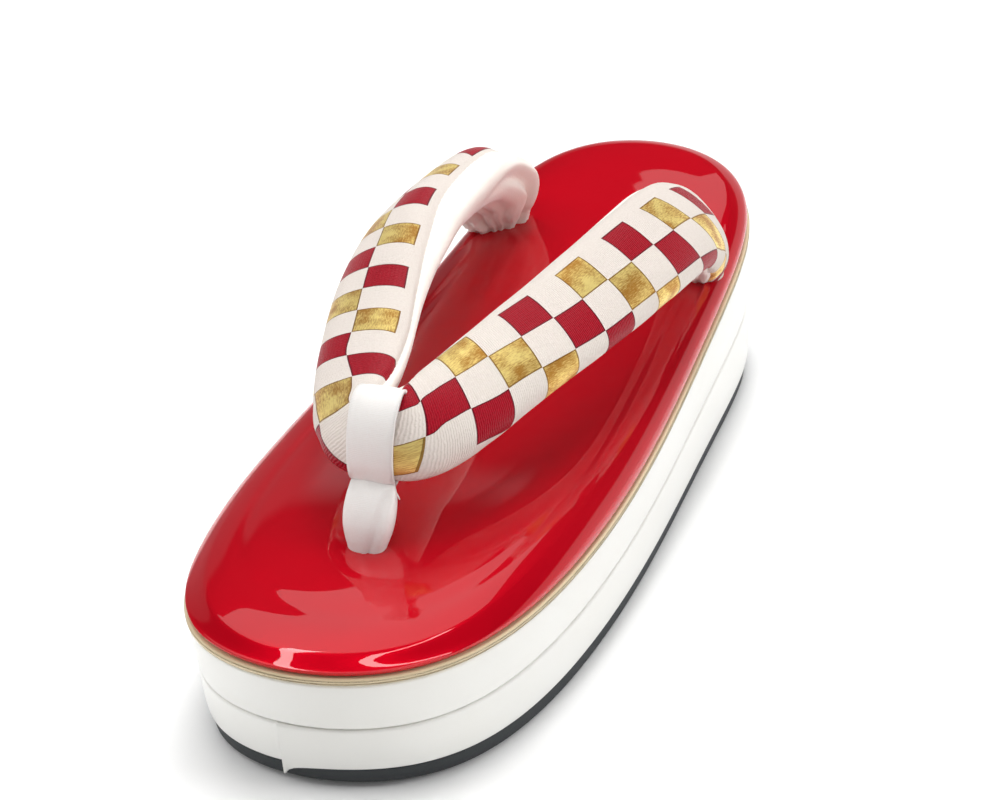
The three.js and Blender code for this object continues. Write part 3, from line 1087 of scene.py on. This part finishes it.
def band_section(position, half_width):
    """The flat band, across and through, with rolled edges, a folded hem and rucks at its end."""
    rucked = 0.18 * smooth(3.5, 0.0, len(LOOP_PATH) - 1 - position)
    points = []
    for i in range(LOOP_SIDES * 2):
        side = 1.0 if i < LOOP_SIDES else -1.0
        across = side * (1.0 - 2.0 * (i % LOOP_SIDES + 0.5) / LOOP_SIDES) * half_width
        edge = abs(across) / half_width
        hem = 0.5 * bump(edge - 0.92, 0.06) - 0.4 * bump(edge - 0.78, 0.05)
        half_thickness = LOOP_THICKNESS / 2.0 * math.sqrt(max(0.0, 1.0 - edge**9)) * (1.0 + hem)
        wave = rucked * math.sin(0.55 * across + 2.2 * position)
        points.append((across, side * half_thickness + 0.25 * (1.0 - edge**2) + wave))
    return points


def stem_section(position, half_width, half_depth):
    """The padded stem, pinched at its top and folded lengthwise at its right."""
    folded, fold_angle = smooth(1.5, 3.0, position), 34.0 + 5.0 * position
    pinched = 0.8 * bump(position - 1.3, 0.9)
    points = []
    for side in range(STEM_SIDES):
        turn = 360.0 * side / STEM_SIDES
        a, d = math.cos(math.radians(turn)), math.sin(math.radians(turn))
        square = STEM_SQUARENESS
        full = 1.0 / (abs(a) ** square + abs(d) ** square) ** (1.0 / square)
        fold = bump(angle_gap(turn, fold_angle), 8.0) * folded
        pinch = pinched * (0.5 + 0.5 * math.cos(math.radians(5.0 * turn + 40.0)))
        scale = full * (1.0 - (fold + pinch) / half_width)
        points.append((a * half_width * scale, d * half_depth * scale))
    return points


class ZORI_OT_toe_loop(bpy.types.Operator):
    """Pearl satin band folded over the V and drawn down into the front hole"""

    bl_idname = "zori.toe_loop"
    bl_label = "Toe loop"

    def execute(self, context):
        colours = context.scene.zori_colours
        satin = satin_material(colours)
        band = loop_sweep("toe_loop_band", LOOP_PATH, 110, band_section, 0.5, 0.85)
        place(band, satin, "loop_cloth", "toe_loop")
        stem = loop_sweep("toe_loop_stem", STEM_STATIONS, 60, stem_section, 0.35, 0.8)
        place(stem, satin, "loop_cloth")
        place(self.pinch_threads(), thread_material(colours), "loop_cloth")
        return {"FINISHED"}

    @staticmethod
    def pinch_threads():
        """The few turns of thread that gather the band, and their trimmed end."""
        turns, steps = 3, 150
        path = []
        for share in (i / steps for i in range(steps + 1)):
            angle = 2.0 * math.pi * turns * share
            y = PINCH_Y + PINCH_HALF_DEPTH * math.sin(angle)
            z = PINCH_Z - 0.9 * (share - 0.5) + 0.35 * math.sin(angle)
            path.append((PINCH_HALF_WIDTH * math.cos(angle), y, z))
        return tube("toe_loop_threads", path + PINCH_END, PINCH_THREAD)


def tube(mesh_name, path, radius, sides=6):
    """A closed round tube along a list of points."""
    rings = []
    previous = Vector((0.0, 0.0, 1.0))
    for i, point in enumerate(path):
        ahead, behind = Vector(path[min(len(path) - 1, i + 1)]), Vector(path[max(0, i - 1)])
        tangent = (ahead - behind).normalized()
        side = tangent.cross(previous).normalized()
        previous = side.cross(tangent)
        ring = []
        for k in range(sides):
            turn = 2.0 * math.pi * k / sides
            offset = side * math.cos(turn) - previous * math.sin(turn)
            ring.append(tuple(Vector(point) + offset * radius))
        rings.append(ring)
    return loft(mesh_name, rings)


# ------------ stitches


STITCH_LIFT = 0.02
STITCH_FREE_END, STITCH_FREE_MIDDLE = 14, 12  # rings of the band left without stitches


def stitch_tree(thread):
    """Geometry Nodes tree that lays short stitches along the edges it is given."""
    nodes, given, result = new_group(
        "Seam Stitches", ("Pitch", "Stitch Length", "Thread Width")
    )
    curve = nodes.node("GeometryNodeMeshToCurve", {"Mesh": given["Geometry"]}).outputs["Curve"]
    inputs = {"Curve": curve, "Length": given["Pitch"]}
    spaced = nodes.node("GeometryNodeCurveToPoints", inputs, mode="LENGTH").outputs
    ball = nodes.node("GeometryNodeMeshUVSphere", {"Segments": 8, "Rings": 5, "Radius": 1.0})
    half_width = nodes.math("MULTIPLY", given["Thread Width"], 0.5)
    half_length = nodes.math("MULTIPLY", given["Stitch Length"], 0.5)
    nodes.copies(
        result,
        thread,
        Points=spaced["Points"],
        Instance=ball.outputs["Mesh"],
        Rotation=spaced["Rotation"],
        Scale=nodes.combined(half_width, half_width, half_length),
    )
    return nodes.tree


class ZORI_OT_seam_stitches(bpy.types.Operator):
    """Ladder stitches where the thong's lining meets its brocade cover"""

    bl_idname = "zori.seam_stitches"
    bl_label = "Seam stitches"

    def execute(self, context):
        sizes = context.scene.zori_sizes
        band = bpy.data.objects["thong_band"].data
        middle = BAND_RINGS // 2
        points, edges = [], []
        for turn_index in (0, COVER_SIDES):
            for start, stop in (
                (STITCH_FREE_END, middle - STITCH_FREE_MIDDLE),
                (middle + STITCH_FREE_MIDDLE, BAND_RINGS - STITCH_FREE_END),
            ):
                for ring_index in range(start, stop):
                    vertex = band.vertices[ring_index * (COVER_SIDES + LINING_SIDES) + turn_index]
                    lifted = vertex.co + vertex.normal * STITCH_LIFT * MM
                    points.append(tuple(value / MM for value in lifted))
                    if ring_index > start:
                        edges.append((len(points) - 2, len(points) - 1))
        thread = thread_material(context.scene.zori_colours)
        values = {
            "Pitch": sizes.stitch_pitch,
            "Stitch Length": sizes.stitch_length,
            "Thread Width": sizes.thread_width,
        }
        seams = finished("thong_seam_stitches", points, edges=edges)
        stitches = grown(seams, stitch_tree(thread), values)
        stitches.data.shade_smooth()
        place(stitches, thread, "thong_brocade")
        return {"FINISHED"}


# ------------ stage


FLOOR_HALF = 4000.0
CAMERA_PLACE = Vector((0.3918, -0.8811, 0.5623))
CAMERA_AIM = Vector((0.001, 0.004, 0.036))
CAMERA_ROLL = math.radians(-3.9)
LENS = 164.0

# Area lights, in metres and watts. Reflections show the first three and not the fills.
LIGHTS = (
    # name, place, aim, width, height, power, shown in reflections
    ("left_strip", (-0.52, -0.15, 1.15), (-0.52, -0.15, 0.0), 0.1, 1.5, 4.0, True),
    ("overhead_strip", (0.06, -0.15, 1.2), (0.06, -0.15, 0.0), 0.1, 1.5, 4.0, True),
    ("back_softbox", (-0.5, 0.85, 1.25), (0.0, 0.0, 0.0), 1.0, 0.55, 1.9, True),
    ("overhead_fill", (0.1, 0.55, 1.5), (0.0, 0.0, 0.0), 1.1, 1.1, 14.5, False),
    ("right_fill", (1.4, 0.2, 0.8), (0.0, 0.0, 0.0), 0.9, 0.9, 10.0, False),
    ("front_fill", (0.3, -1.4, 0.7), (0.0, 0.0, 0.0), 0.9, 0.9, 4.0, False),
    ("left_fill", (-1.3, -0.4, 0.7), (0.0, 0.0, 0.0), 0.9, 0.9, 8.5, False),
)


def area_light(light_name, place_at, aim, width, height, power, mirrored):
    data = bpy.data.lights.new(light_name, "AREA")
    data.shape = "RECTANGLE"
    data.size, data.size_y = width, height
    data.energy = power
    lamp = bpy.data.objects.new(light_name, data)
    lamp.location = place_at
    lamp.rotation_euler = (Vector(aim) - Vector(place_at)).to_track_quat("-Z", "Y").to_euler()
    lamp.visible_glossy = mirrored
    bpy.context.scene.collection.objects.link(lamp)


def studio_world():
    """Bright paper behind the sandal with a dark flag at its left, and a dark room elsewhere."""
    world = bpy.data.worlds.new("Studio")
    world.use_nodes = True
    nodes = Nodes(world.node_tree)
    x, y, z = nodes.split(nodes.node("ShaderNodeTexCoord").outputs["Generated"])
    below_ceiling = nodes.fade(z, 0.51, 0.46)
    behind = nodes.fade(y, -0.55, 0.1)
    beside_flag = nodes.fade(x, -0.45, -0.37)
    shade = nodes.math("MULTIPLY_ADD", beside_flag, 0.75, 0.25)
    paper = nodes.math("MULTIPLY", nodes.math("MULTIPLY", below_ceiling, behind), shade)
    light = nodes.math("MULTIPLY_ADD", paper, 0.72, 0.03)
    colour = nodes.node("ShaderNodeCombineColor", {0: light, 1: light, 2: light}).outputs[0]
    background = world.node_tree.nodes["Background"]
    nodes.join(colour, background.inputs["Color"])
    background.inputs["Strength"].default_value = 1.0
    bpy.context.scene.world = world


class ZORI_OT_stage(bpy.types.Operator):
    """Pale floor, soft studio light and the camera"""

    bl_idname = "zori.stage"
    bl_label = "Stage"

    def execute(self, context):
        corners = ((-1, -1), (1, -1), (1, 1), (-1, 1))
        points = [(FLOOR_HALF * x, FLOOR_HALF * y, 0.0) for x, y in corners]
        floor = finished("studio_floor", points, [(0, 1, 2, 3)])
        floor.data.materials.append(floor_material())
        studio_world()
        for row in LIGHTS:
            area_light(*row)
        data = bpy.data.cameras.new("camera")
        data.lens = LENS
        data.sensor_width = 36.0
        data.clip_start = 0.05
        camera = bpy.data.objects.new("camera", data)
        view = (CAMERA_AIM - CAMERA_PLACE).to_track_quat("-Z", "Y").to_matrix().to_4x4()
        roll = Matrix.Rotation(CAMERA_ROLL, 4, "Z")
        camera.matrix_world = Matrix.Translation(CAMERA_PLACE) @ view @ roll
        context.scene.collection.objects.link(camera)
        context.scene.camera = camera
        context.scene.view_settings.view_transform = "Standard"
        return {"FINISHED"}


# ------------ panel and main


PIECE_OPERATORS = (
    ZORI_OT_outsole,
    ZORI_OT_platform,
    ZORI_OT_welt,
    ZORI_OT_footbed,
    ZORI_OT_thong,
    ZORI_OT_toe_loop,
    ZORI_OT_seam_stitches,
    ZORI_OT_stage,
)


class ZORI_PT_panel(bpy.types.Panel):
    """Lists the sandal's sizes, colours and pieces in the sidebar"""

    bl_idname = "ZORI_PT_panel"
    bl_label = "Zori Sandal"
    bl_space_type = "VIEW_3D"
    bl_region_type = "UI"
    bl_category = "Zori"

    def draw(self, context):
        for settings in (context.scene.zori_sizes, context.scene.zori_colours):
            for key in settings.bl_rna.properties.keys():
                if key not in ("rna_type", "name"):
                    self.layout.prop(settings, key)
        for operator in PIECE_OPERATORS:
            self.layout.operator(operator.bl_idname)


CLASSES = (ZoriSizes, ZoriColours, *PIECE_OPERATORS, ZORI_PT_panel)


def register():
    for one_class in CLASSES:
        bpy.utils.register_class(one_class)
    bpy.types.Scene.zori_sizes = bpy.props.PointerProperty(type=ZoriSizes)
    bpy.types.Scene.zori_colours = bpy.props.PointerProperty(type=ZoriColours)


def unregister():
    del bpy.types.Scene.zori_colours
    del bpy.types.Scene.zori_sizes
    for one_class in reversed(CLASSES):
        bpy.utils.unregister_class(one_class)


def main():
    register()
    vinyl_grain_group()
    ribbed_cloth_group()
    checks_group()
    bpy.ops.zori.stage()
    bpy.ops.zori.outsole()
    bpy.ops.zori.platform()
    bpy.ops.zori.welt()
    bpy.ops.zori.footbed()
    bpy.ops.zori.thong()
    bpy.ops.zori.toe_loop()
    bpy.ops.zori.seam_stitches()
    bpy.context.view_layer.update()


if __name__ == "__main__":
    main()
